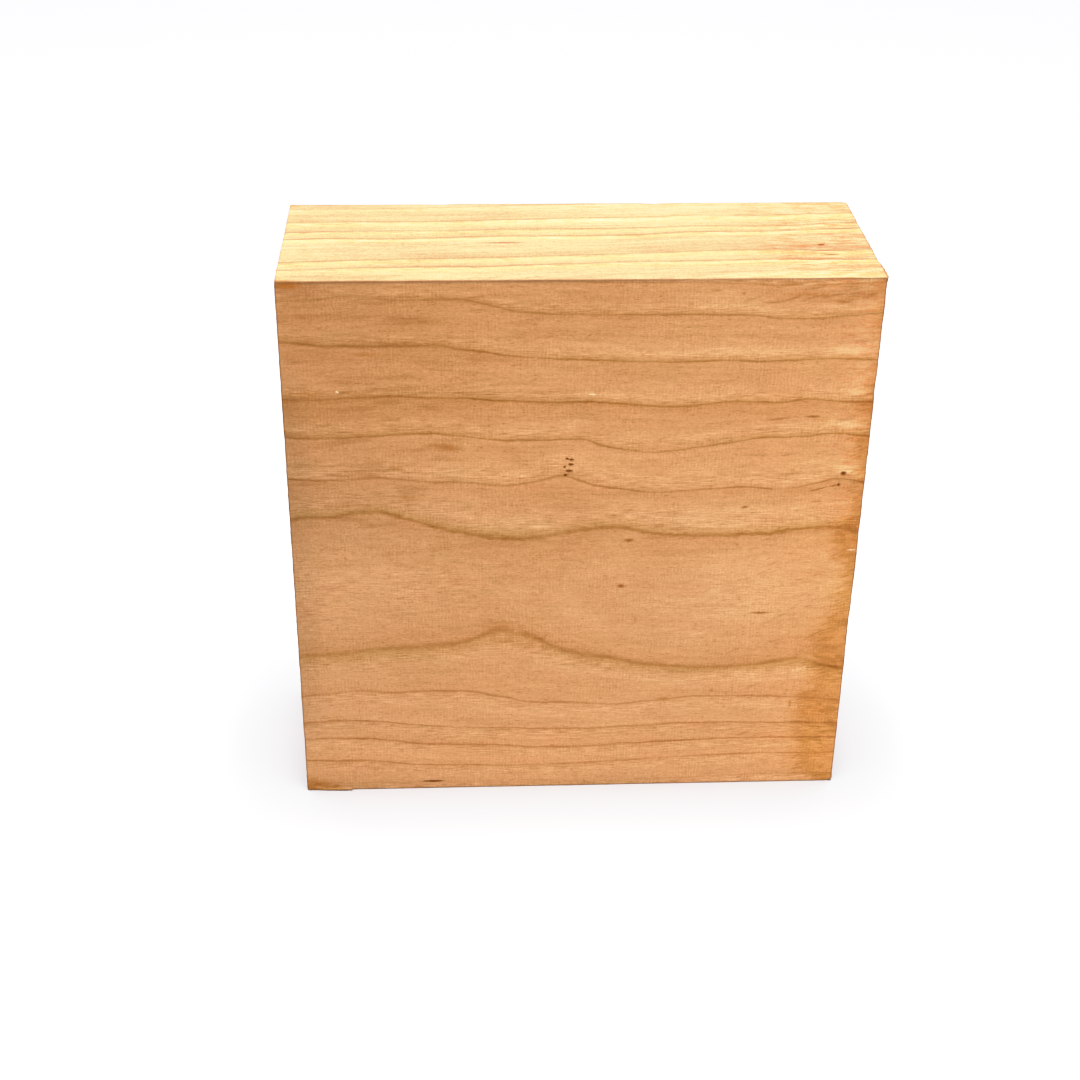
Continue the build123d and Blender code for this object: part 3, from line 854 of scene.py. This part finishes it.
rough = g.fma(fibre, 0.16, 0.56)
rough = g.math("ADD", rough, g.mul(m_wax, -0.14))

height = g.fma(fibre, 0.05, 0.0)
height = g.fma(fine, 0.05, height)
bump = g.new("ShaderNodeBump")
bump.inputs["Strength"].default_value = 1.0
bump.inputs["Distance"].default_value = 0.001
g.put(bump.inputs["Height"], height)

shader = g.new("ShaderNodeBsdfPrincipled")
g.put(shader.inputs["Base Color"], colour)
g.put(shader.inputs["Roughness"], rough)
g.put(shader.inputs["Normal"], bump.outputs[0])
shader.inputs["Specular IOR Level"].default_value = 0.08
g.put(g.new("ShaderNodeOutputMaterial").inputs["Surface"], shader.outputs[0])
mesh.materials.append(wood)

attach(blank, "root")
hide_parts("bowl_blank")

# ------------------------------------------------------------ floor and light
floor_mesh = bpy.data.meshes.new("floor")
ringpts = [(1.5 * math.cos(a), 1.5 * math.sin(a), 0.0) for a in np.linspace(0, 2 * math.pi, 96, endpoint=False)]
floor_mesh.from_pydata(ringpts, [], [list(range(96))])
floor = bpy.data.objects.new("floor", floor_mesh)
bpy.context.scene.collection.objects.link(floor)
pale = bpy.data.materials.new("pale_floor")
pale.use_nodes = True
pale.node_tree.nodes["Principled BSDF"].inputs["Base Color"].default_value = (0.66, 0.567, 0.441, 1.0)
pale.node_tree.nodes["Principled BSDF"].inputs["Roughness"].default_value = 0.9
pale.node_tree.nodes["Principled BSDF"].inputs["Specular IOR Level"].default_value = 0.1
floor_mesh.materials.append(pale)

world = bpy.data.worlds.new("studio")
bpy.context.scene.world = world
world.use_nodes = True
# A white studio: bright round the horizon, dim overhead, where the softbox hangs.
studio = Net(world.node_tree)
rise = studio.new("ShaderNodeSeparateXYZ")
studio.put(rise.inputs[0], studio.new("ShaderNodeTexCoord").outputs["Generated"])
studio.put(world.node_tree.nodes["Background"].inputs["Strength"], studio.step(rise.outputs[2], 0.14, 0.30, 1.7, 0.05))
world.node_tree.nodes["Background"].inputs["Color"].default_value = (1.0, 1.0, 1.0, 1.0)


def softbox(name, at, aim, size, power, tint):
    data = bpy.data.lights.new(name, "AREA")
    data.shape, data.size, data.size_y = "RECTANGLE", size[0], size[1]
    data.energy, data.color = power, tint
    ob = bpy.data.objects.new(name, data)
    ob.location = at
    ob.rotation_euler = (Vector(aim) - Vector(at)).to_track_quat("-Z", "Y").to_euler()
    ob.visible_camera = False
    bpy.context.scene.collection.objects.link(ob)
    return ob


softbox("overhead", (0.0, 0.0, 5.0), (0.0, 0.0, 0.0), (1.7, 1.7), 672.0, (0.85, 1.0, 1.355))
softbox("low", (0.0, -0.14, 0.025), (0.0, -0.037, 0.015), (0.34, 0.04), 0.032, (1.0, 1.0, 1.0))
softbox("side", (0.42, -0.60, 0.06), (0.0, -0.037, 0.08), (0.3, 0.12), 0.28, (1.0, 1.0, 1.0))

# ------------------------------------------------------------------ the camera
data = bpy.data.cameras.new("camera")
data.sensor_width = 36.0
data.sensor_fit = "AUTO"
data.lens = 60.8822
data.clip_start, data.clip_end = 0.01, 50.0
camera = bpy.data.objects.new("camera", data)
camera.matrix_world = Matrix(((0.998942, 0.013367, -0.043996, -0.041868),
                              (-0.044742, 0.503237, -0.862989, -0.599187),
                              (0.010605, 0.864045, 0.503303, 0.438268),
                              (0.0, 0.0, 0.0, 1.0)))
bpy.context.scene.collection.objects.link(camera)
bpy.context.scene.camera = camera

# A plain transform with a soft shoulder, so that the brightest wood keeps its figure.
view = bpy.context.scene.view_settings
view.view_transform = "Standard"
view.look = "None"
view.use_curve_mapping = True
shoulder = view.curve_mapping
shoulder.white_level = (3.0, 3.0, 3.0)
line = shoulder.curves[3]
line.points[0].location = (0.0, 0.0)
line.points[1].location = (1.0, 1.0)
for a, b in ((0.3, 0.3), (0.6, 0.6), (0.75, 0.748), (0.9, 0.855), (1.06, 0.916), (1.36, 0.974), (1.47, 1.0), (2.2, 1.0)):
    line.points.new(a / 3.0, b)
shoulder.update()
bpy.context.scene.cycles.max_bounces = 5
bpy.context.scene.cycles.diffuse_bounces = 3
bpy.context.scene.cycles.glossy_bounces = 2
